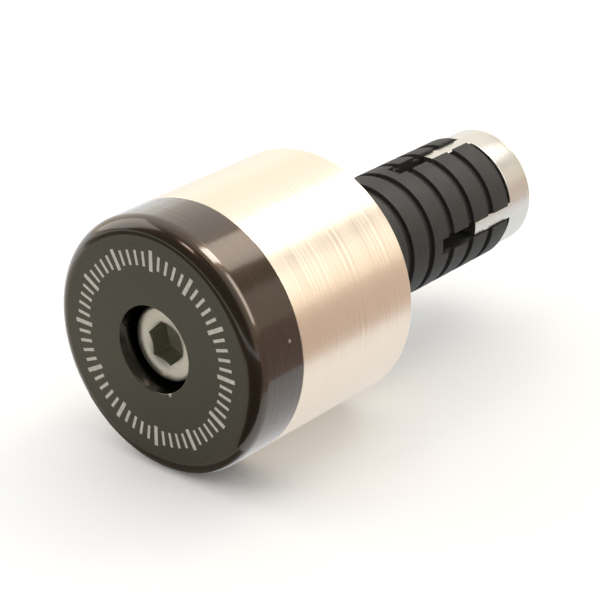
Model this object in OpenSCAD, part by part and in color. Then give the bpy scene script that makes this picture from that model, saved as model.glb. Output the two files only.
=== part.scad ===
// Bar end weight for a motorcycle handlebar. A black end cap and a bright steel weight are
// clamped by one long socket screw to an expander, which grips inside the end of the bar.
// The bar's axis runs along Y, with inboard positive, and Z is up. The origin is on that axis,
// in the plane where the rear shoulder of the weight meets the end of the bar.

/* [Cap and weight] */
// Outside diameter of the cap and of the weight, which run flush
outer_d = 33; // [29:0.5:38]
// Length of the cap in front of the weight
cap_len = 8.2; // [7:0.1:10]
// Radius of the rounded front edge of the cap
cap_round = 2.1; // [1:0.1:3]
// Thickness of the cap between the washer and the back of its boss
cap_floor_t = 3.2; // [2:0.1:5]
// Diameter of the boss that centres the cap in the weight
boss_d = 22; // [17:0.5:25]
// Radial clearance of the boss in the weight
boss_clear = 0.05; // [0.02:0.01:0.2]
// Gap between the end of the boss and the floor of its recess
boss_end_gap = 0.2; // [0.1:0.1:0.5]
// Length of the weight from the cap to its rear shoulder
weight_len = 20.6; // [14:0.2:32]
// Edge break on the turned corners of the cap and of the weight
edge_break = 0.15; // [0.05:0.05:0.5]
// Edge break round the mouth of the counterbore
mouth_break = 0.15; // [0.05:0.05:0.4]

/* [Handlebar end] */
// Bore of the handlebar tube that the spigot and the expander enter
bar_bore_d = 18; // [16:0.5:22]
// Length of the spigot on the back of the weight
spigot_len = 6; // [4:0.5:10]
// Chamfer on the nose of the spigot
spigot_chamfer = 1; // [0.3:0.1:1.6]
// Radial clearance of the spigot in the bar
spigot_clear = 0.2; // [0.1:0.05:0.4]

/* [Screw and washer] */
// Diameter of the screw
screw_d = 6; // [5:0.5:7]
// Length of the screw that stands out of the nut
screw_out = 1.5; // [0.5:0.25:4]
// Chamfer on the tip of the screw
tip_chamfer = 0.8; // [0.3:0.1:1]
// Diameter of the head
head_d = 10; // [8.5:0.25:12]
// Height of the head
head_h = 6; // [5:0.25:7]
// Rounding of the top edge of the head
head_round = 0.6; // [0.2:0.1:1]
// Depth of the top of the head below the face of the cap
head_sink = 2.05; // [0.5:0.05:4]
// Width of the hex socket across its flats
hex_af = 5; // [4:0.25:6]
// Depth of the hex socket to where its flats end
hex_depth = 3; // [2:0.25:4]
// Width of the countersink outside the corners of the hex
socket_lip = 0.1; // [0.05:0.05:0.3]
// Angle at which the hex socket came to rest when the screw was tightened
hex_turn = 45; // [0:5:60]
// Thickness of the washer under the head
washer_t = 1.6; // [0.8:0.1:2.5]
// Width of the washer outside the head
washer_lip = 0.5; // [0.3:0.1:1]
// Radial clearance of the washer in the counterbore
washer_clear = 0.1; // [0.05:0.05:0.3]
// Radial clearance of the screw in the washer
washer_hole_clear = 0.2; // [0.1:0.05:0.4]
// Radial clearance of the screw in the cap, the weight and the bush
hole_clear = 0.3; // [0.1:0.05:0.6]

/* [Expander bush] */
// Length of the rubber bush
bush_len = 26; // [20:1:34]
// Radial clearance of the slack bush in the bar
bush_clear = 0.5; // [0.3:0.1:1]
// Chamfer on the two ends of the bush
bush_chamfer = 0.5; // [0.2:0.1:1]
// Rubber left round the mouth of the conical seat
seat_wall = 1.9; // [1.6:0.1:2.6]
// Number of slots that let the bush spread, each with a key of the nut in it
slot_count = 4; // [2:1:6]
// Width of a slot
slot_w = 2.2; // [1.6:0.1:3]
// Length of a slot from the inboard end of the bush
slot_len = 15; // [11:0.5:18]
// Number of grip grooves round the bush
groove_count = 5; // [1:1:8]
// Width of a grip groove
groove_w = 1.2; // [0.6:0.1:1.8]
// Depth of a grip groove
groove_depth = 0.6; // [0.3:0.1:1]

/* [Cone nut] */
// Length of the cone inside the bush
cone_len = 10; // [8:0.5:13]
// Way left for the nut to be drawn in, at its rim and in front of its cone
draw_gap = 0.6; // [0.3:0.1:0.9]
// Length of the rim of the nut
rim_len = 5; // [3:0.5:8]
// Radial clearance of the rim in the bar
rim_clear = 0.9; // [0.6:0.1:1.5]
// Chamfer on the inboard edge of the rim
rim_chamfer = 0.6; // [0.2:0.1:1]
// Wall of the nut at the small end of its cone
cone_tip_wall = 1.4; // [1:0.1:1.8]
// Clearance between the cone and its seat
cone_clear = 0.05; // [0.02:0.01:0.1]
// Countersink at the two ends of the thread
nut_mouth_break = 0.5; // [0.2:0.1:0.8]
// Length of a key from the rim along the cone
key_len = 8; // [5:0.5:10]
// Clearance on each side of a key in its slot
key_clear = 0.1; // [0.05:0.05:0.25]
// Radial clearance between the nut and the screw
thread_clear = 0.02; // [0.01:0.01:0.05]

/* [Hidden] */

// Facets of a full turn
turn_facets = 128;
// How far a cut runs past the surface that it opens
over = 0.5;

// Radii
outer_r = outer_d / 2;
boss_r = boss_d / 2;
recess_r = boss_r + boss_clear;
screw_r = screw_d / 2;
hole_r = screw_r + hole_clear;
head_r = head_d / 2;
washer_r = head_r + washer_lip;
counterbore_r = washer_r + washer_clear;
spigot_r = bar_bore_d / 2 - spigot_clear;
bush_r = bar_bore_d / 2 - bush_clear;
rim_r = bar_bore_d / 2 - rim_clear;
seat_mouth_r = bush_r - seat_wall;
cone_mouth_r = seat_mouth_r - cone_clear;
nut_bore_r = screw_r + thread_clear;
cone_tip_r = nut_bore_r + cone_tip_wall;

// Places along the bar's axis, from the outer face inboard
joint_y = -weight_len;
face_y = joint_y - cap_len;
head_top_y = face_y + head_sink;
head_seat_y = head_top_y + head_h;
counterbore_floor_y = head_seat_y + washer_t;
boss_end_y = counterbore_floor_y + cap_floor_t;
recess_floor_y = boss_end_y + boss_end_gap;
bush_start_y = spigot_len;
bush_end_y = bush_start_y + bush_len;
cone_start_y = bush_end_y - cone_len;
seat_floor_y = cone_start_y - draw_gap;
rim_start_y = bush_end_y + draw_gap;
rim_end_y = rim_start_y + rim_len;
screw_end_y = rim_end_y + screw_out;

// Turns a half section about the bar's axis. In a section X is the radius and Y the axis.
module turned() {
    rotate([-90, 0, 0]) rotate_extrude($fn = turn_facets) children();
}

// Half section of a plain cylinder of radius r between two places on the axis
module bar(start_y, end_y, r) {
    translate([0, start_y]) square([r, end_y - start_y]);
}

// Triangle that breaks the corner at radius r and place y. The solid lies towards side, 1 or -1.
module corner_break(r, y, size, side) {
    polygon([
        [r - size - over, y - side * over],
        [r + over, y - side * over],
        [r + over, y + side * (size + over)],
    ]);
}

// Triangle that breaks the edge of a hole of radius r in the face at place y
module mouth_cut(r, y, size, side) {
    polygon([
        [r - over, y + side * (size + over)],
        [r - over, y - side * over],
        [r + size + over, y - side * over],
    ]);
}

// Cut that rounds the corner at radius r and place y to an arc
module corner_round(r, y, size, side) {
    translate([r - size, y + side * size]) difference() {
        translate([0, side > 0 ? -size - over : 0]) square([size + over, size + over]);
        circle(size, $fn = turn_facets);
    }
}

// Black anodised cap: a disc with a rounded edge, a boss behind it and a deep counterbore
module end_cap() {
    color([0.13, 0.12, 0.11]) turned() difference() {
        union() {
            bar(face_y, joint_y, outer_r);
            bar(joint_y - over, boss_end_y, boss_r);
        }
        corner_round(outer_r, face_y, cap_round, 1);
        corner_break(outer_r, joint_y, edge_break, -1);
        corner_break(boss_r, boss_end_y, edge_break, -1);
        bar(face_y - over, counterbore_floor_y, counterbore_r);
        mouth_cut(counterbore_r, face_y, mouth_break, 1);
        bar(face_y, boss_end_y + over, hole_r);
    }
}

// Bright steel weight: recessed in front for the cap's boss, with a spigot behind for the bar
module bar_end_weight() {
    color([0.83, 0.8, 0.75]) turned() difference() {
        union() {
            bar(joint_y, 0, outer_r);
            bar(-over, spigot_len, spigot_r);
        }
        corner_break(outer_r, joint_y, edge_break, 1);
        corner_break(outer_r, 0, edge_break, -1);
        corner_break(spigot_r, spigot_len, spigot_chamfer, -1);
        bar(joint_y - over, recess_floor_y, recess_r);
        mouth_cut(recess_r, joint_y, edge_break, 1);
        bar(joint_y, spigot_len + over, hole_r);
        mouth_cut(hole_r, spigot_len, edge_break, -1);
    }
}

// Hex socket in the head, with a countersunk mouth and the drill's cone below its flats
module hex_socket() {
    hex_corner_r = hex_af / 2 / cos(30);
    mouth_r = hex_corner_r + socket_lip;
    translate([0, head_top_y, 0]) rotate([-90, 0, 0]) {
        translate([0, 0, -over]) {
            rotate([0, 0, -hex_turn]) cylinder(h = hex_depth + over, r = hex_corner_r, $fn = 6);
            cylinder(h = mouth_r * tan(30) + over, r1 = mouth_r + over / tan(30), r2 = 0, $fn = turn_facets);
        }
        translate([0, 0, hex_depth])
            cylinder(h = hex_af / 2 * tan(30), r1 = hex_af / 2, r2 = 0, $fn = turn_facets);
    }
}

// Socket screw that runs through every other piece into the nut
module cap_screw() {
    color([0.67, 0.65, 0.6]) difference() {
        turned() difference() {
            union() {
                bar(head_top_y, head_seat_y, head_r);
                bar(head_top_y + over, screw_end_y, screw_r);
            }
            corner_round(head_r, head_top_y, head_round, 1);
            corner_break(screw_r, screw_end_y, tip_chamfer, -1);
        }
        hex_socket();
    }
}

// Plain steel washer on the floor of the counterbore
module head_washer() {
    color([0.7, 0.69, 0.66]) turned() difference() {
        bar(head_seat_y, counterbore_floor_y, washer_r);
        bar(head_seat_y - over, counterbore_floor_y + over, screw_r + washer_hole_clear);
    }
}

// One box from the axis outwards for each slot of the bush, and for each key that enters it
module spokes(width, start_y, end_y, reach) {
    for (i = [0 : slot_count - 1])
        rotate([0, i * 360 / slot_count, 0])
            translate([0, start_y, -width / 2]) cube([reach, end_y - start_y, width]);
}

// Radius of the conical seat at place y. Its slope is the cone's.
function seat_r(y) = seat_mouth_r + (y - bush_end_y) * (cone_mouth_r - cone_tip_r) / cone_len;

// Half section of the conical seat, which runs on past both ends of the cone
module seat_section() {
    polygon([
        [0, seat_floor_y],
        [seat_r(seat_floor_y), seat_floor_y],
        [seat_r(bush_end_y + over), bush_end_y + over],
        [0, bush_end_y + over],
    ]);
}

// Rubber bush: grooved outside, with a conical seat and open slots at its inboard end
module expander_bush() {
    groove_pitch = bush_len / (groove_count + 1);
    color([0.1, 0.1, 0.1]) difference() {
        turned() difference() {
            bar(bush_start_y, bush_end_y, bush_r);
            corner_break(bush_r, bush_start_y, bush_chamfer, 1);
            corner_break(bush_r, bush_end_y, bush_chamfer, -1);
            bar(bush_start_y - over, bush_end_y, hole_r);
            seat_section();
            for (i = [1 : groove_count])
                translate([bush_r - groove_depth, bush_start_y + i * groove_pitch - groove_w / 2])
                    square([groove_depth + over, groove_w]);
        }
        spokes(slot_w, bush_end_y - slot_len, bush_end_y + over, bush_r + over);
    }
}

// Aluminium nut: its cone spreads the bush, and its keys in the slots stop it from turning
module cone_nut() {
    color([0.72, 0.72, 0.7]) difference() {
        union() {
            turned() difference() {
                union() {
                    polygon([
                        [0, cone_start_y],
                        [cone_tip_r, cone_start_y],
                        [cone_mouth_r, bush_end_y],
                        [cone_mouth_r, rim_start_y + over],
                        [0, rim_start_y + over],
                    ]);
                    bar(rim_start_y, rim_end_y, rim_r);
                }
                corner_break(rim_r, rim_end_y, rim_chamfer, -1);
            }
            intersection() {
                spokes(slot_w - 2 * key_clear, rim_start_y - key_len, rim_start_y + over, rim_r + over);
                turned() bar(rim_start_y - key_len, rim_start_y + over, rim_r);
            }
        }
        turned() {
            bar(cone_start_y - over, rim_end_y + over, nut_bore_r);
            mouth_cut(nut_bore_r, rim_end_y, nut_mouth_break, -1);
            mouth_cut(nut_bore_r, cone_start_y, nut_mouth_break, 1);
        }
    }
}

end_cap();
bar_end_weight();
cap_screw();
head_washer();
expander_bush();
cone_nut();
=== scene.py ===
"""Bar end weight, dressed for rendering: a black cap and a steel weight, screwed to an expander.

The turning axis runs along Y with inboard positive, Z is up, and Blender's lengths are in metres. The origin
is on that axis, in the plane of the weight's rear face.
"""

import math

import bmesh
import bpy
from mathutils import Matrix, Vector


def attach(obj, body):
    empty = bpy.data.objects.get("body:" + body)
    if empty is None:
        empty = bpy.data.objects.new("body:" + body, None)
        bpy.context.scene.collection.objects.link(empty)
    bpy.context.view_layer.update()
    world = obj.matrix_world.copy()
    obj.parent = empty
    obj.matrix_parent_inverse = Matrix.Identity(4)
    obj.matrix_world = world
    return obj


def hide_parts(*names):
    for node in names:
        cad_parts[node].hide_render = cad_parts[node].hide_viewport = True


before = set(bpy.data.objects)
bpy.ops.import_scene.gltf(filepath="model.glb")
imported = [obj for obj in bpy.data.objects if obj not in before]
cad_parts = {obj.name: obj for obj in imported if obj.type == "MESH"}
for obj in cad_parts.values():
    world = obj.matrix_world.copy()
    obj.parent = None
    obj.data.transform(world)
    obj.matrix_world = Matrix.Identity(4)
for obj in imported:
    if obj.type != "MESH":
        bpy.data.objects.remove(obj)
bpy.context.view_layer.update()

# The camera stands 0.29 m away, 40 degrees round from the outer face towards +X and 25 degrees up. Its lens
# is long, so that the small part fills the picture.
CAMERA_PLACE = Vector((0.16773, -0.19887, 0.12208))
CAMERA_AIM = Vector((0.0, -0.0019, -0.0033))
camera_data = bpy.data.cameras.new("camera")
camera_data.sensor_width = 36
camera_data.lens = 135
camera_data.clip_start = 0.01
camera = bpy.data.objects.new("camera", camera_data)
camera.location = CAMERA_PLACE
camera.rotation_euler = (CAMERA_AIM - CAMERA_PLACE).to_track_quat("-Z", "Y").to_euler()
bpy.context.scene.collection.objects.link(camera)
bpy.context.scene.camera = camera
bpy.context.scene.view_settings.view_transform = "Standard"

# The room: a white studio, cream low down. In the metal's reflections its camera side is dark, there is a dim
# gap between the lamps, and one corner, low behind the part on the left, is overexposed and white.
ROOM_LIGHT = "fffffd"
ROOM_WHITE = "fffcf6"
ROOM_CREAM = "fff1dc"
DIM_GAP = (0.416, 0.645, 0.641)
BRIGHT_CORNER = (-0.72, 0.69, 0.06)


def linear(hex_colour):
    """Turns an sRGB hex colour to the linear colour that a socket takes."""
    levels = [int(hex_colour[i:i + 2], 16) / 255 for i in (0, 2, 4)]
    return (*(v / 12.92 if v <= 0.04045 else ((v + 0.055) / 1.055) ** 2.4 for v in levels), 1.0)


def add_node(tree, kind, inputs=None, to=None, **settings):
    """Adds a node. An input is a value or another node's output. Its own first output can feed a socket."""
    node = tree.nodes.new(kind)
    for name, value in settings.items():
        setattr(node, name, value)
    for name, value in (inputs or {}).items():
        if isinstance(value, bpy.types.NodeSocket):
            tree.links.new(value, node.inputs[name])
        else:
            node.inputs[name].default_value = value
    if to:
        tree.links.new(node.outputs[0], to)
    return node


world = bpy.data.worlds.new("white_room")
bpy.context.scene.world = world
world.use_nodes = True
tree = world.node_tree
tree.nodes.clear()
direction = add_node(tree, "ShaderNodeTexCoord").outputs["Generated"]
parts = add_node(tree, "ShaderNodeSeparateXYZ", {0: direction}).outputs
rise = add_node(tree, "ShaderNodeMapRange", {"Value": parts["Z"], "From Min": 0.1, "From Max": 0.8},
                interpolation_type="SMOOTHSTEP")
tone = add_node(tree, "ShaderNodeMix", {"Factor": rise.outputs[0], 6: linear(ROOM_CREAM),
                                       7: linear(ROOM_WHITE)}, data_type="RGBA").outputs[2]
lit = add_node(tree, "ShaderNodeMapRange", {"Value": parts["Y"], "From Min": -0.6, "From Max": -0.1,
                                           "To Min": 0.17, "To Max": 0.94},
               interpolation_type="SMOOTHSTEP").outputs[0]
for middle, edge, core, gain in ((DIM_GAP, 0.975, 0.995, -0.65), (BRIGHT_CORNER, 0.955, 0.99, 0.3)):
    towards = add_node(tree, "ShaderNodeVectorMath", {0: direction, 1: middle}, operation="DOT_PRODUCT")
    spot = add_node(tree, "ShaderNodeMapRange", {"Value": towards.outputs["Value"], "From Min": edge,
                                                "From Max": core}, interpolation_type="SMOOTHSTEP").outputs[0]
    level = add_node(tree, "ShaderNodeMath", {0: spot, 1: gain, 2: 1.0}, operation="MULTIPLY_ADD").outputs[0]
    lit = add_node(tree, "ShaderNodeMath", {0: lit, 1: level}, operation="MULTIPLY").outputs[0]
# The corner, the second of the two spots, has none of the cream
tone = add_node(tree, "ShaderNodeMix", {"Factor": spot, 6: tone, 7: linear(ROOM_WHITE)},
                data_type="RGBA").outputs[2]
room_light = add_node(tree, "ShaderNodeBackground", {"Color": linear(ROOM_LIGHT), "Strength": 1.0})
room_seen = add_node(tree, "ShaderNodeBackground", {"Color": tone, "Strength": lit})
backdrop = add_node(tree, "ShaderNodeBackground", {"Color": linear("ffffff"), "Strength": 1.0})
rays = add_node(tree, "ShaderNodeLightPath").outputs
shown = add_node(tree, "ShaderNodeMath", {0: rays["Is Glossy Ray"], 1: rays["Is Transmission Ray"]},
                 operation="MAXIMUM").outputs[0]
seen = add_node(tree, "ShaderNodeMixShader", {0: shown, 1: room_light.outputs[0], 2: room_seen.outputs[0]})
seen = add_node(tree, "ShaderNodeMixShader", {0: rays["Is Camera Ray"], 1: seen.outputs[0],
                                             2: backdrop.outputs[0]})
add_node(tree, "ShaderNodeOutputWorld", {"Surface": seen.outputs[0]})

# The lamps: soft boxes above and on the left, a small front lamp and a window. The two strips draw the bright
# bands along the turned metal, and light nothing else.
for name, place, along, width, length, power, colour in (
        ("overhead_softbox", (0.084, 0.45, 0.53), (0, 0, 1), 0.28, 0.28, 0.62, "fff6ea"),
        ("overhead_strip", (0.11, 0.13, 0.66), (0, 1, 0), 0.18, 0.48, 3.1, "fffaf2"),
        ("left_softbox", (-0.70, 0.50, 0.75), (0, 0, 1), 1.2, 1.2, 1.2, "fffdf9"),
        ("right_strip", (0.55, 0.19, 0.48), (-0.657, 0, 0.754), 0.24, 0.55, 1.9, "fffaf2"),
        ("front_lamp", (-0.14, -0.48, 0.52), (0, 0, 1), 0.12, 0.12, 0.3, "ffe9dc"),
        ("window", (-0.95, -0.35, 0.45), (0, 0, 1), 0.80, 0.80, 3.2, "ffffff")):
    lamp_data = bpy.data.lights.new(name, "AREA")
    lamp_data.shape = "RECTANGLE"
    lamp_data.size, lamp_data.size_y = width, length
    lamp_data.energy = power
    lamp_data.color = linear(colour)[:3]
    lamp = bpy.data.objects.new(name, lamp_data)
    back = Vector(place).normalized()
    side = Vector(along).cross(back).normalized()
    turn = Matrix((side, back.cross(side), back)).transposed().to_4x4()
    lamp.matrix_world = Matrix.Translation(place) @ turn
    lamp.visible_camera = False
    lamp.visible_diffuse = not name.endswith("strip")
    bpy.context.scene.collection.objects.link(lamp)

# The table: a painted board that the part lies on, with five plain cards that only reflections show. A warm
# one stands beside the part and gives the steel its rosy band. The others lie flat, and the cap mirrors them.
TABLE_TOP = -0.0165
TABLE_REACH = 4.0
TABLE_MIRRORED_WHITE = 0.7
WARM_CARD_HEIGHT = 0.0284
WARM_CARD_LENGTH = 0.28


def flat_board(name, size, stand, finish, colour, roughness):
    """A flat rectangle of a size in metres, on a stand, with a finish of one colour."""
    board_bm = bmesh.new()
    bmesh.ops.create_grid(board_bm, x_segments=1, y_segments=1, size=0.5,
                          matrix=stand @ Matrix.Diagonal((*size, 1.0, 1.0)))
    board_mesh = bpy.data.meshes.new(name)
    board_bm.to_mesh(board_mesh)
    board_bm.free()
    board = bpy.data.objects.new(name, board_mesh)
    bpy.context.scene.collection.objects.link(board)
    paint = bpy.data.materials.new(finish)
    paint.use_nodes = True
    shader = paint.node_tree.nodes["Principled BSDF"]
    shader.inputs["Base Color"].default_value = linear(colour)
    shader.inputs["Roughness"].default_value = roughness
    board_mesh.materials.append(paint)
    return board, paint.node_tree, shader


def lying(x, y, lift):
    """The stand of a board that lies flat, lifted a little from the table's top."""
    return Matrix.Translation((x, y, TABLE_TOP + lift))


# Matt white painted board: a barely uneven tone from the roller, which leaves patches of about 25 mm
_, tree, shader = flat_board("table", (2 * TABLE_REACH, 2 * TABLE_REACH), lying(0, 0, 0),
                             "matt_white_painted_board", "f3f3f2", 0.75)
place = add_node(tree, "ShaderNodeTexCoord").outputs["Object"]
roller = add_node(tree, "ShaderNodeTexNoise", {"Vector": place, "Scale": 40.0, "Detail": 3.0})
tone = add_node(tree, "ShaderNodeMix", {"Factor": roller.outputs["Fac"], 6: linear("f3f3f2"),
                                       7: linear("f6f6f5")}, data_type="RGBA")
tree.links.new(tone.outputs[2], shader.inputs["Base Color"])
# Away from the part and its shadow the board runs out into the white backdrop. Metal mirrors it mostly white.
away = add_node(tree, "ShaderNodeVectorMath", {0: place}, operation="LENGTH").outputs["Value"]
far = add_node(tree, "ShaderNodeMapRange", {"Value": away, "From Min": 0.12, "From Max": 0.45},
               interpolation_type="SMOOTHSTEP").outputs[0]
rays = add_node(tree, "ShaderNodeLightPath").outputs
shown = add_node(tree, "ShaderNodeMath", {0: far, 1: rays["Is Camera Ray"]}, operation="MULTIPLY").outputs[0]
backdrop = add_node(tree, "ShaderNodeEmission", {"Color": linear("ffffff"), "Strength": 1.0})
seen = add_node(tree, "ShaderNodeMixShader", {0: shown, 1: shader.outputs[0], 2: backdrop.outputs[0]})
mirrored = add_node(tree, "ShaderNodeMath", {0: rays["Is Glossy Ray"], 1: TABLE_MIRRORED_WHITE},
                    operation="MULTIPLY").outputs[0]
white = add_node(tree, "ShaderNodeEmission", {"Color": linear("fbfdff"), "Strength": 1.0})
add_node(tree, "ShaderNodeMixShader", {0: mirrored, 1: seen.outputs[0], 2: white.outputs[0]},
         to=tree.nodes["Material Output"].inputs["Surface"])

# Uncoated card: flat and even
beside = lying(0.0405, 0.11, WARM_CARD_HEIGHT / 2) @ Matrix.Rotation(math.pi / 2, 4, "Y")
for name, colour, size, stand in (
        ("warm_card", "cab8ad", (WARM_CARD_HEIGHT, WARM_CARD_LENGTH), beside),
        ("dark_card", "5c5349", (0.16, 0.16), lying(0.093, -0.111, 0.001)),
        ("far_dark_card", "5c5349", (0.30, 0.20), lying(-0.137, -0.182, 0.001)),
        ("near_dark_card", "7a7064", (0.034, 0.0045), lying(-0.003, -0.02825, 0.0003)),
        ("grey_card", "c6c1b6", (0.105, 0.052), lying(-0.0395, -0.056, 0.0005))):
    card, _, _ = flat_board(name, size, stand, "uncoated_" + name, colour, 0.9)
    card.visible_camera = card.visible_diffuse = card.visible_shadow = False

# The end cap: a disc of aluminium, turned with a rounded front edge and a deep counterbore, then anodised
# black. Its boss sits in the weight, and the screw holds it there. The marks on its face stand 0.01 mm proud.
MM = 0.001
OUTER_RADIUS = 16.5
MARK_TOP = -28.8
CAP_FACE = MARK_TOP + 0.01
FACE_ROUNDING = 2.1
JOINT = -20.6
COUNTERBORE_RADIUS = 5.6
COUNTERBORE_FLOOR = -19.15
BOSS_RADIUS = 11.0
BOSS_END = -15.95
HOLE_RADIUS = 3.3
EDGE_BREAK = 0.15
FINE_BREAK = 0.1
TURN_STEPS = 256
MERGE_REACH = 1e-7


def turned(section, steps=TURN_STEPS, closed=True):
    """Spins a half section about the axis. Each corner is its radius, its place and its rounding in mm."""
    bm = bmesh.new()
    corners = [(bm.verts.new((radius * MM, place * MM, 0)), rounding) for radius, place, rounding in section]
    for (start, _), (end, _) in zip(corners, corners[1:] + corners[:1] * closed):
        bm.edges.new((start, end))
    for corner, rounding in corners:
        if rounding:
            bmesh.ops.bevel(bm, geom=[corner], offset=rounding * MM, offset_type="OFFSET", affect="VERTICES",
                            segments=12 if rounding > 1 else 5, profile=0.5, material=-1)
    bmesh.ops.spin(bm, geom=bm.verts[:] + bm.edges[:], cent=(0, 0, 0), axis=(0, 1, 0), dvec=(0, 0, 0),
                   angle=math.tau, steps=steps, use_merge=True)
    bmesh.ops.remove_doubles(bm, verts=bm.verts, dist=MERGE_REACH)
    bmesh.ops.recalc_face_normals(bm, faces=bm.faces)
    return bm


def finished(name, bm, material, node=None):
    """Makes a mesh of the model and puts it on the bar end, in place of its CAD node."""
    mesh = bpy.data.meshes.new(name)
    bm.to_mesh(mesh)
    bm.free()
    mesh.polygons.foreach_set("use_smooth", [True] * len(mesh.polygons))
    mesh.set_sharp_from_angle(angle=math.radians(32))
    mesh.materials.append(material)
    piece = bpy.data.objects.new(name, mesh)
    flat = piece.modifiers.new("flat_faces_stay_flat", "WEIGHTED_NORMAL")
    flat.mode, flat.weight, flat.keep_sharp = "FACE_AREA", 100, True
    bpy.context.scene.collection.objects.link(piece)
    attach(piece, "root")
    if node:
        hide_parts(node)


def new_material(name, colour, metallic, roughness):
    """A material with its mean look, its node tree, its shader, and the surface's place in millimetres."""
    made = bpy.data.materials.new(name)
    made.use_nodes = True
    shader = made.node_tree.nodes["Principled BSDF"]
    shader.inputs["Base Color"].default_value = linear(colour)
    shader.inputs["Metallic"].default_value = metallic
    shader.inputs["Roughness"].default_value = roughness
    place = add_node(made.node_tree, "ShaderNodeTexCoord").outputs["Object"]
    place = add_node(made.node_tree, "ShaderNodeVectorMath", {0: place, "Scale": 1 / MM}, operation="SCALE")
    return made, made.node_tree, shader, place.outputs["Vector"]


def from_axis(tree, place):
    """Distance from the turning axis, in mm."""
    across = add_node(tree, "ShaderNodeVectorMath", {0: place, 1: (1.0, 0.0, 1.0)}, operation="MULTIPLY")
    return add_node(tree, "ShaderNodeVectorMath", {0: across.outputs[0]}, operation="LENGTH").outputs["Value"]


def along_section(tree, place):
    """Radius plus place on the axis, in mm: it runs across the marks that the lathe tool leaves."""
    on_axis = add_node(tree, "ShaderNodeSeparateXYZ", {0: place}).outputs["Y"]
    return add_node(tree, "ShaderNodeMath", {0: from_axis(tree, place), 1: on_axis},
                    operation="ADD").outputs[0]


# Black anodised turned aluminium: a warm black under a clear film of aluminium oxide, satin, with the fine
# rings of the lathe under it
anodised, tree, shader, place = new_material("black_anodised_turned_aluminium", "3a332b", 1.0, 0.3)
shader.inputs["Coat Weight"].default_value = 1.0
shader.inputs["Coat Roughness"].default_value = 0.12
shader.inputs["Coat IOR"].default_value = 1.65
# Feed marks 0.1 mm apart on the real cap, drawn about 0.4 mm apart so that they show
rings = add_node(tree, "ShaderNodeTexNoise", {"W": along_section(tree, place), "Scale": 2.4, "Detail": 1.0},
                 noise_dimensions="1D")
add_node(tree, "ShaderNodeBump", {"Height": rings.outputs["Fac"], "Strength": 0.5, "Distance": 0.00006},
         to=shader.inputs["Normal"])
# Smudges from handling, about 6 mm across
smudge = add_node(tree, "ShaderNodeTexNoise", {"Vector": place, "Scale": 0.16, "Detail": 3.0})
add_node(tree, "ShaderNodeMapRange", {"Value": smudge.outputs["Fac"], "From Min": 0.25, "From Max": 0.75,
                                     "To Min": 0.25, "To Max": 0.36},
         to=shader.inputs["Roughness"], interpolation_type="SMOOTHSTEP")
# Two ragged nicks bare the aluminium: one on the counterbore's edge and one on the side
bare = 0.0
ragged = add_node(tree, "ShaderNodeTexNoise", {"Vector": place, "Scale": 3.0, "Detail": 2.0}).outputs["Fac"]
for nick_place, nick_reach in (((2.50, -28.80, -5.20), 0.28), ((15.99, -22.51, 4.06), 0.26)):
    away = add_node(tree, "ShaderNodeVectorMath", {0: place, 1: nick_place},
                    operation="DISTANCE").outputs["Value"]
    away = add_node(tree, "ShaderNodeMath", {0: ragged, 1: 0.35, 2: away},
                    operation="MULTIPLY_ADD").outputs[0]
    spot = add_node(tree, "ShaderNodeMapRange", {"Value": away, "From Min": nick_reach + 0.05,
                                                "From Max": nick_reach + 0.2, "To Min": 1.0,
                                                "To Max": 0.0}).outputs[0]
    bare = add_node(tree, "ShaderNodeMath", {0: bare, 1: spot}, operation="MAXIMUM").outputs[0]
# The film is browner and lighter from the rounded edge out over the side than on the face: painted sheen, for
# brighter reflections there
painted_sheen_band = add_node(tree, "ShaderNodeMapRange", {"Value": from_axis(tree, place), "From Min": 14.2,
                                              "From Max": 15.2}).outputs[0]
film = add_node(tree, "ShaderNodeMix", {"Factor": painted_sheen_band, 6: linear("27250e"), 7: linear("38291a")},
                data_type="RGBA").outputs[2]
skin = add_node(tree, "ShaderNodeMix", {"Factor": bare, 6: film, 7: linear("b9b5ad")}, data_type="RGBA")
tree.links.new(skin.outputs[2], shader.inputs["Base Color"])

finished("end_cap_turned", turned([
    (COUNTERBORE_RADIUS, CAP_FACE, EDGE_BREAK), (OUTER_RADIUS, CAP_FACE, FACE_ROUNDING),
    (OUTER_RADIUS, JOINT, FINE_BREAK), (BOSS_RADIUS, JOINT, 0), (BOSS_RADIUS, BOSS_END, EDGE_BREAK),
    (HOLE_RADIUS, BOSS_END, 0), (HOLE_RADIUS, COUNTERBORE_FLOOR, 0),
    (COUNTERBORE_RADIUS, COUNTERBORE_FLOOR, 0)]), anodised, "end_cap")

# The graduation ring on the cap's face: sixty short marks, every fifth one longer, made by a laser that
# bleaches the black film. They are as thin as the film.
MARK_COUNT = 60
MARK_MIDDLE = 11.65
MARK_THICKNESS = 0.02
LONG_MARK = (2.7, 0.55)
SHORT_MARK = (1.9, 0.4)
marks_bm = bmesh.new()
for index in range(MARK_COUNT):
    length, width = SHORT_MARK if index % 5 else LONG_MARK
    bmesh.ops.create_cube(marks_bm, size=1.0, matrix=(
        Matrix.Rotation(math.tau * index / MARK_COUNT, 4, "Y")
        @ Matrix.Translation((MARK_MIDDLE * MM, CAP_FACE * MM, 0))
        @ Matrix.Diagonal((length * MM, MARK_THICKNESS * MM, width * MM, 1.0))))
# Laser bleached film: a matt, warm pale grey, flecked at about 0.5 mm
pale, tree, shader, place = new_material("laser_bleached_anodising", "a8a39a", 0.0, 0.5)
fleck = add_node(tree, "ShaderNodeTexNoise", {"Vector": place, "Scale": 2.2, "Detail": 3.0})
tone = add_node(tree, "ShaderNodeMix", {"Factor": fleck.outputs["Fac"], 6: linear("8f8a82"),
                                       7: linear("b6b1a8")}, data_type="RGBA")
tree.links.new(tone.outputs[2], shader.inputs["Base Color"])
finished("graduation_ring", marks_bm, pale)

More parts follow.
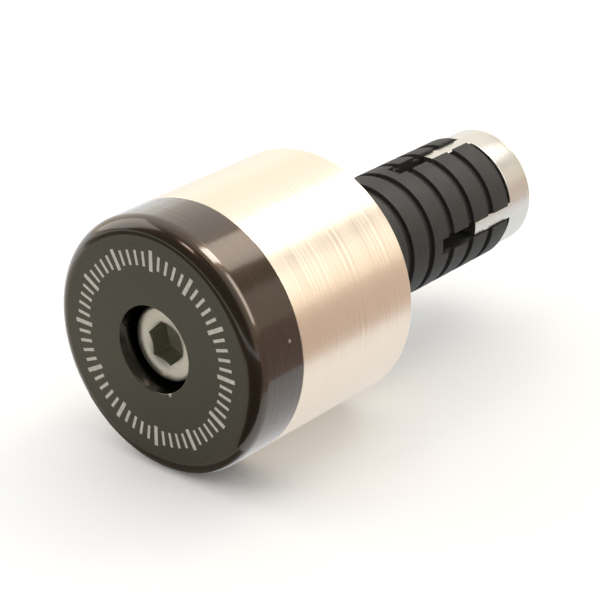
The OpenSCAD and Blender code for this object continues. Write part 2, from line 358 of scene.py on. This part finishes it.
# The weight: a solid steel slug, turned and polished, flush with the cap, whose boss sits in its recess. Its
# spigot centres it in the tube that it closes.
RECESS_RADIUS = 11.05
RECESS_FLOOR = -15.75
SPIGOT_RADIUS = 8.8
SPIGOT_END = 6
SPIGOT_CHAMFER = 1

# Polished turned steel: bright and warm, with streaks of light drawn out across the fine rings of the lathe
polished, tree, shader, place = new_material("polished_turned_steel", "f2e4d4", 1.0, 0.3)
shader.inputs["Anisotropic"].default_value = 0.6
shader.inputs["Anisotropic Rotation"].default_value = 0.25
add_node(tree, "ShaderNodeTangent", direction_type="RADIAL", axis="Y", to=shader.inputs["Tangent"])
run = along_section(tree, place)
# Feed marks 0.08 mm apart, drawn about 0.5 mm apart so that they show
marks = add_node(tree, "ShaderNodeTexNoise", {"W": run, "Scale": 2.0, "Detail": 0.0}, noise_dimensions="1D")
add_node(tree, "ShaderNodeBump", {"Height": marks.outputs["Fac"], "Strength": 0.5, "Distance": 0.00004},
         to=shader.inputs["Normal"])
# Duller and brighter bands, about 2 mm wide, as the polishing cloth leaves them
bands = add_node(tree, "ShaderNodeTexNoise", {"W": run, "Scale": 0.5, "Detail": 1.0}, noise_dimensions="1D")
add_node(tree, "ShaderNodeMapRange", {"Value": bands.outputs["Fac"], "To Min": 0.25, "To Max": 0.35},
         to=shader.inputs["Roughness"])

finished("weight_turned", turned([
    (RECESS_RADIUS, JOINT, EDGE_BREAK), (OUTER_RADIUS, JOINT, FINE_BREAK), (OUTER_RADIUS, 0, EDGE_BREAK),
    (SPIGOT_RADIUS, 0, 0), (SPIGOT_RADIUS, SPIGOT_END - SPIGOT_CHAMFER, FINE_BREAK),
    (SPIGOT_RADIUS - SPIGOT_CHAMFER, SPIGOT_END, FINE_BREAK), (HOLE_RADIUS, SPIGOT_END, EDGE_BREAK),
    (HOLE_RADIUS, RECESS_FLOOR, 0), (RECESS_RADIUS, RECESS_FLOOR, 0)]),
    polished, "bar_end_weight")

# The socket screw: M6 stainless steel, cold headed, its head knurled and its thread rolled. It clamps the cap
# and the weight to the cone nut.
HEAD_TOP = -26.75
HEAD_SEAT = -20.75
HEAD_RADIUS = 5.0
HEAD_ROUNDING = 0.6
KNURL_START = HEAD_TOP + 1.0
KNURL_END = HEAD_SEAT - 0.7
KNURL_MARGIN = 0.2
KNURL_DEPTH = 0.125
SHANK_RADIUS = 3.0
CORE_RADIUS = 2.4
SCREW_END = 39.1
TIP_RADIUS = 2.3
SCREW_STEPS = 120
HEX_HALF_WIDTH = 2.5
HEX_TURN = 45
HEX_DEPTH = 3.0
MOUTH_RADIUS = 2.99
DRILL_POINT = 1.44
PITCH = 1.0
THREAD_START = 20.0
THREAD_STEPS = 48
ROOT_RADIUS = 2.48
CREST_RADIUS = 2.98

# Satin stainless steel: a pale even grey with pits of about 0.3 mm from the heading die. Inside the socket it
# is painted shade, a darker olive grey, and it is duller there
satin, tree, shader, place = new_material("satin_stainless_steel", "dbd9d2", 1.0, 0.32)
grain = add_node(tree, "ShaderNodeTexNoise", {"Vector": place, "Scale": 3.0, "Detail": 2.0}).outputs["Fac"]
on_axis = add_node(tree, "ShaderNodeSeparateXYZ", {0: place}).outputs["Y"]
within = add_node(tree, "ShaderNodeMapRange", {"Value": from_axis(tree, place),
                                              "From Min": MOUTH_RADIUS + 0.05,
                                              "From Max": MOUTH_RADIUS - 0.25}).outputs[0]
sunk = add_node(tree, "ShaderNodeMapRange", {"Value": on_axis, "From Min": HEAD_TOP,
                                            "From Max": HEAD_TOP + 0.8}).outputs[0]
in_head = add_node(tree, "ShaderNodeMath", {0: on_axis, 1: HEAD_TOP + 5.0}, operation="LESS_THAN").outputs[0]
painted_socket_shade = add_node(tree, "ShaderNodeMath", {0: within, 1: sunk}, operation="MULTIPLY").outputs[0]
painted_socket_shade = add_node(tree, "ShaderNodeMath", {0: painted_socket_shade, 1: in_head}, operation="MULTIPLY").outputs[0]
steel = add_node(tree, "ShaderNodeMix", {"Factor": grain, 6: linear("cfcdc5"), 7: linear("e7e5df")},
                 data_type="RGBA").outputs[2]
# Painted shade: inside the socket the steel turns a darker olive grey, and the same mask makes it duller
steel = add_node(tree, "ShaderNodeMix", {"Factor": painted_socket_shade, 6: steel, 7: linear("afb19f")}, data_type="RGBA")
tree.links.new(steel.outputs[2], shader.inputs["Base Color"])
add_node(tree, "ShaderNodeMapRange", {"Value": painted_socket_shade, "To Min": 0.32, "To Max": 0.5},
         to=shader.inputs["Roughness"])
add_node(tree, "ShaderNodeBump", {"Height": grain, "Strength": 0.4, "Distance": 0.00003},
         to=shader.inputs["Normal"])

screw_bm = turned([
    (MOUTH_RADIUS, HEAD_TOP, 0), (HEAD_RADIUS, HEAD_TOP, HEAD_ROUNDING), (HEAD_RADIUS, KNURL_START, 0),
    (HEAD_RADIUS, KNURL_END, 0), (HEAD_RADIUS, HEAD_SEAT, 0.2), (SHANK_RADIUS, HEAD_SEAT, 0),
    (SHANK_RADIUS, THREAD_START, 0.4), (CORE_RADIUS, THREAD_START, 0), (CORE_RADIUS, THREAD_START + PITCH, 0),
    (0, THREAD_START + PITCH, 0)], SCREW_STEPS, closed=False)
# Every other column of the knurled band is pressed in
flutes = [v for v in screw_bm.verts if math.hypot(v.co.x, v.co.z) > (HEAD_RADIUS - 0.05) * MM
          and (KNURL_START - KNURL_MARGIN) * MM < v.co.y < (KNURL_END + KNURL_MARGIN) * MM
          and round(math.atan2(v.co.z, v.co.x) / math.tau * SCREW_STEPS) % 2]
pressed_in = 1 - KNURL_DEPTH / HEAD_RADIUS
bmesh.ops.scale(screw_bm, vec=(pressed_in, 1.0, pressed_in), verts=flutes)
# The socket: the hole's rim is extruded to the hexagon, down its flats, in to the drill's circle and shut
rim = [e for e in screw_bm.edges if e.is_boundary]
for stage in ("countersink", "flats", "floor", "drill"):
    grown = bmesh.ops.extrude_edge_only(screw_bm, edges=rim)["geom"]
    rim = [item for item in grown if isinstance(item, bmesh.types.BMEdge)]
    for vert in {v for edge in rim for v in edge.verts}:
        turn = math.atan2(vert.co.z, vert.co.x)
        flat = HEX_HALF_WIDTH / math.cos((turn - math.radians(HEX_TURN)) % (math.pi / 3) - math.pi / 6)
        reach, deep = {"countersink": (flat, (MOUTH_RADIUS - flat) * math.tan(math.pi / 6)),
                       "flats": (flat, HEX_DEPTH), "floor": (HEX_HALF_WIDTH, HEX_DEPTH),
                       "drill": (0.01, HEX_DEPTH + DRILL_POINT)}[stage]
        vert.co = Vector((reach * math.cos(turn), HEAD_TOP + deep, reach * math.sin(turn))) * MM
bmesh.ops.remove_doubles(screw_bm, verts=screw_bm.verts, dist=0.002 * MM)
still_open = list({v for edge in screw_bm.edges if edge.is_boundary for v in edge.verts})
bmesh.ops.pointmerge(screw_bm, verts=still_open,
                     merge_co=Vector((0, HEAD_TOP + HEX_DEPTH + DRILL_POINT, 0)) * MM)
bmesh.ops.recalc_face_normals(screw_bm, faces=screw_bm.faces)

# The rolled thread: one tooth's outline swept along its helix, cut square at both ends, with a chamfered tip
thread_bm = bmesh.new()
tooth = [thread_bm.verts.new((radius * MM, (THREAD_START - PITCH + place) * MM, 0))
         for radius, place in ((ROOT_RADIUS, 0.0), (CREST_RADIUS, 0.36), (CREST_RADIUS, 0.52),
                               (ROOT_RADIUS, 0.88), (ROOT_RADIUS, PITCH))]
for start, end in zip(tooth, tooth[1:]):
    thread_bm.edges.new((start, end))
turns = math.ceil((SCREW_END - THREAD_START) / PITCH) + 2
bmesh.ops.spin(thread_bm, geom=thread_bm.verts[:] + thread_bm.edges[:], cent=(0, 0, 0), axis=(0, -1, 0),
               dvec=(0, PITCH * MM / THREAD_STEPS, 0), angle=math.tau * turns, steps=THREAD_STEPS * turns)
bmesh.ops.remove_doubles(thread_bm, verts=thread_bm.verts, dist=0.003 * MM)
for place, side in ((THREAD_START + 0.3, -1), (SCREW_END, 1)):
    cut = bmesh.ops.bisect_plane(thread_bm, geom=thread_bm.verts[:] + thread_bm.edges[:] + thread_bm.faces[:],
                                 plane_co=(0, place * MM, 0), plane_no=(0, side, 0),
                                 clear_outer=True)["geom_cut"]
    bmesh.ops.edgeloop_fill(thread_bm, edges=[item for item in cut if isinstance(item, bmesh.types.BMEdge)])
for vert in thread_bm.verts:
    reach = math.hypot(vert.co.x, vert.co.z)
    limit = (TIP_RADIUS + SCREW_END) * MM - vert.co.y
    if reach > limit:
        vert.co.x *= limit / reach
        vert.co.z *= limit / reach
bmesh.ops.recalc_face_normals(thread_bm, faces=thread_bm.faces)
thread_mesh = bpy.data.meshes.new("thread")
thread_bm.to_mesh(thread_mesh)
thread_bm.free()
screw_bm.from_mesh(thread_mesh)
bpy.data.meshes.remove(thread_mesh)
finished("socket_screw", screw_bm, satin, "cap_screw")

# The washer: a plain steel ring, stamped and tumbled. It lies on the floor of the counterbore and spreads the
# load of the screw's head.
WASHER_RADIUS = 5.5
WASHER_HOLE = 3.2
WASHER_ROUNDING = 0.25
WASHER_STEPS = 128

# Tumbled steel: a darker grey than the screw, dulled by dents of about 0.5 mm
stamped, tree, shader, place = new_material("tumbled_washer_steel", "b2aea5", 1.0, 0.36)
grain = add_node(tree, "ShaderNodeTexNoise", {"Vector": place, "Scale": 2.0, "Detail": 2.0}).outputs["Fac"]
add_node(tree, "ShaderNodeMapRange", {"Value": grain, "To Min": 0.28, "To Max": 0.45},
         to=shader.inputs["Roughness"])
add_node(tree, "ShaderNodeBump", {"Height": grain, "Strength": 0.4, "Distance": 0.00003},
         to=shader.inputs["Normal"])
finished("stamped_washer", turned([
    (WASHER_HOLE, HEAD_SEAT, FINE_BREAK), (WASHER_RADIUS, HEAD_SEAT, WASHER_ROUNDING),
    (WASHER_RADIUS, COUNTERBORE_FLOOR, FINE_BREAK), (WASHER_HOLE, COUNTERBORE_FLOOR, FINE_BREAK)],
    WASHER_STEPS), stamped, "head_washer")

# The expander bush: moulded black rubber with five grip grooves and four open slots. The cone nut spreads it
# against the bore around it when the screw is tightened.
BUSH_EDGE = 0.12


def softened(node, width, segments):
    """Copies a CAD solid's mesh, makes its flat faces whole again, and rounds its edges by a width in mm."""
    bm = bmesh.new()
    bm.from_mesh(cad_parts[node].data)
    bmesh.ops.remove_doubles(bm, verts=bm.verts, dist=MERGE_REACH)
    bmesh.ops.dissolve_limit(bm, angle_limit=math.radians(0.5), verts=bm.verts, edges=bm.edges)
    sharp = [e for e in bm.edges if e.is_manifold and e.calc_face_angle() > math.radians(50)]
    bmesh.ops.bevel(bm, geom=sharp, offset=width * MM, offset_type="OFFSET", affect="EDGES",
                    segments=segments, profile=0.5, material=-1, clamp_overlap=True)
    bmesh.ops.remove_doubles(bm, verts=bm.verts, dist=MERGE_REACH)
    bmesh.ops.recalc_face_normals(bm, faces=bm.faces)
    return bm


# Moulded black rubber: nearly black and matt, with the grain of the mould, 0.2 mm, drawn at 0.5 mm so that it
# shows, and the grey bloom that rubber gets, in patches of about 4 mm
rubber, tree, shader, place = new_material("moulded_black_rubber", "201f1e", 0.0, 0.6)
grain = add_node(tree, "ShaderNodeTexNoise", {"Vector": place, "Scale": 2.0, "Detail": 2.0}).outputs["Fac"]
bloom = add_node(tree, "ShaderNodeTexNoise", {"Vector": place, "Scale": 0.25, "Detail": 3.0}).outputs["Fac"]
tone = add_node(tree, "ShaderNodeMix", {"Factor": bloom, 6: linear("131312"), 7: linear("262523")},
                data_type="RGBA")
tree.links.new(tone.outputs[2], shader.inputs["Base Color"])
add_node(tree, "ShaderNodeMapRange", {"Value": bloom, "To Min": 0.5, "To Max": 0.72},
         to=shader.inputs["Roughness"])
add_node(tree, "ShaderNodeBump", {"Height": grain, "Strength": 0.6, "Distance": 0.00012},
         to=shader.inputs["Normal"])
finished("rubber_bush", softened("expander_bush", BUSH_EDGE, 3), rubber, "expander_bush")

# The cone nut: aluminium, turned to a cone and milled to leave four keys, which stand in the bush's slots.
# The screw draws it into the bush.
NUT_EDGE = 0.1

# Turned aluminium, bare: bright and cool, with the lathe's rings and bands of gloss about 2 mm wide
bright, tree, shader, place = new_material("turned_aluminium", "d4d3ce", 1.0, 0.28)
run = along_section(tree, place)
# Feed marks 0.1 mm apart, drawn about 0.4 mm apart so that they show
marks = add_node(tree, "ShaderNodeTexNoise", {"W": run, "Scale": 2.4, "Detail": 1.0}, noise_dimensions="1D")
bands = add_node(tree, "ShaderNodeTexNoise", {"W": run, "Scale": 0.5, "Detail": 1.0}, noise_dimensions="1D")
add_node(tree, "ShaderNodeMapRange", {"Value": bands.outputs["Fac"], "To Min": 0.22, "To Max": 0.36},
         to=shader.inputs["Roughness"])
add_node(tree, "ShaderNodeBump", {"Height": marks.outputs["Fac"], "Strength": 0.5, "Distance": 0.00006},
         to=shader.inputs["Normal"])
finished("turned_nut", softened("cone_nut", NUT_EDGE, 2), bright, "cone_nut")
